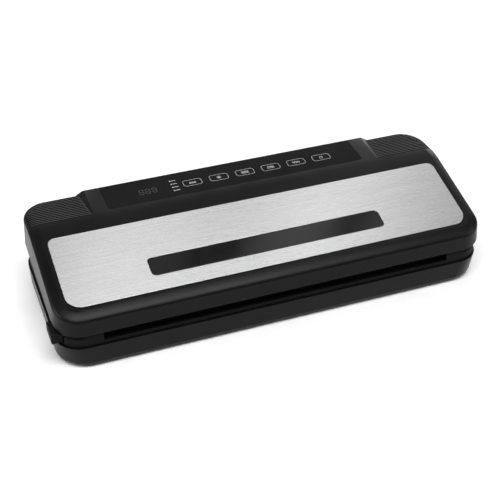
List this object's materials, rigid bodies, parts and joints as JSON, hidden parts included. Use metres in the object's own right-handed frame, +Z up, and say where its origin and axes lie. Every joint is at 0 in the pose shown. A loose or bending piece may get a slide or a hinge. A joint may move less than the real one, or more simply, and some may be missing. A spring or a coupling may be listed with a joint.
{
  "type": "vacuum sealer",
  "caption": "Countertop vacuum sealer: low rounded base with a bag slot and vacuum trough, and a full-width hinged lid with a steel plate, window and button panel.",
  "frame": {"origin": "on the worktop, at the undersides of the feet, under the middle of the body; the release button reaches 3.6 mm past the left side, so the middle of the whole box lies 1.8 mm to the left", "axes": "+X to the right along the machine's length, +Y from the bag slot towards the hinges, +Z up"},
  "size_m": [0.4014, 0.1522, 0.0757],
  "materials": {
    "body_black": "satin moulded plastic, fine texture",
    "gloss_black": "glossy printed overlay",
    "window_smoke": "glossy smoked plastic",
    "steel": "brushed along the length",
    "rubber_black": "matt",
    "foam_black": "closed-cell foam",
    "silicone_grey": "matt silicone",
    "zinc": "zinc plated",
    "heater_wire": "rolled resistance strip",
    "tape": "woven glass tape coated with PTFE",
    "resin": "heat-resistant moulding",
    "board_green": "solder mask",
    "light_grey": "translucent moulding"
  },
  "bodies": {
    "base": {"base_lower_shell": "body_black", "base_upper_deck": "body_black", "vacuum_trough": "body_black", "vacuum_port": "body_black", "power_inlet": "body_black", "pump_head": "body_black", "pressure_sensor": "body_black", "lid_switch": "body_black", "foot_front_left": "rubber_black", "foot_front_right": "rubber_black", "foot_rear_left": "rubber_black", "foot_rear_right": "rubber_black", "lower_gasket": "foam_black", "air_hose": "silicone_grey", "case_screw_front_left": "zinc", "case_screw_front_right": "zinc", "case_screw_rear_left": "zinc", "case_screw_rear_right": "zinc", "latch_spring": "zinc", "hinge_bracket_base_left": "zinc", "hinge_bracket_base_right": "zinc", "hinge_pin_left": "zinc", "hinge_pin_right": "zinc", "pump_motor": "zinc", "release_valve": "zinc", "transformer": "zinc", "heating_strip": "heater_wire", "heat_proof_tape": "tape", "sealing_bar": "resin", "power_board": "board_green"},
    "lid": {"lid_shell": "body_black", "steel_plate": "steel", "viewing_window": "window_smoke", "lid_liner": "body_black", "upper_gasket": "foam_black", "pressure_strip": "silicone_grey", "control_panel": "gloss_black", "display_window": "gloss_black", "control_board": "board_green", "lid_hook_left": "body_black", "lid_hook_right": "body_black", "hinge_bracket_lid_left": "zinc", "hinge_bracket_lid_right": "zinc", "status_light_1": "light_grey", "status_light_2": "light_grey", "status_light_3": "light_grey", "status_light_4": "light_grey"},
    "latch": {"release_button": "rubber_black", "latch_slide_left": "zinc", "latch_slide_right": "zinc", "latch_link": "zinc"},
    "switch_plunger": {"lid_switch_plunger": "light_grey"},
    "key_1": {"key_1": "gloss_black"},
    "key_2": {"key_2": "gloss_black"},
    "key_3": {"key_3": "gloss_black"},
    "key_4": {"key_4": "gloss_black"},
    "key_5": {"key_5": "gloss_black"},
    "key_6": {"key_6": "gloss_black"}
  },
  "joints": [
    {"name": "lid_hinge", "type": "hinge", "parent": "base", "child": "lid", "pos_m": [0, 0.0727, 0.04627], "axis": [-1, 0, 0], "range_deg": [0, 85]},
    {"name": "release_button_press", "type": "slide", "parent": "base", "child": "latch", "axis": [1, 0, 0], "range_m": [0, 0.003], "stiffness_N_per_m": 900, "springref_m": -0.001, "deforming": ["latch_spring"]},
    {"name": "lid_switch_press", "type": "slide", "parent": "base", "child": "switch_plunger", "axis": [0, 0, -1], "range_m": [0, 0.0015], "stiffness_N_per_m": 200, "springref_m": -0.0005},
    {"name": "key_1_press", "type": "slide", "parent": "lid", "child": "key_1", "axis": [0, 0, -1], "range_m": [0, 0.0006], "stiffness_N_per_m": 1500, "springref_m": -0.0003},
    {"name": "key_2_press", "type": "slide", "parent": "lid", "child": "key_2", "axis": [0, 0, -1], "range_m": [0, 0.0006], "stiffness_N_per_m": 1500, "springref_m": -0.0003},
    {"name": "key_3_press", "type": "slide", "parent": "lid", "child": "key_3", "axis": [0, 0, -1], "range_m": [0, 0.0006], "stiffness_N_per_m": 1500, "springref_m": -0.0003},
    {"name": "key_4_press", "type": "slide", "parent": "lid", "child": "key_4", "axis": [0, 0, -1], "range_m": [0, 0.0006], "stiffness_N_per_m": 1500, "springref_m": -0.0003},
    {"name": "key_5_press", "type": "slide", "parent": "lid", "child": "key_5", "axis": [0, 0, -1], "range_m": [0, 0.0006], "stiffness_N_per_m": 1500, "springref_m": -0.0003},
    {"name": "key_6_press", "type": "slide", "parent": "lid", "child": "key_6", "axis": [0, 0, -1], "range_m": [0, 0.0006], "stiffness_N_per_m": 1500, "springref_m": -0.0003}
  ]
}
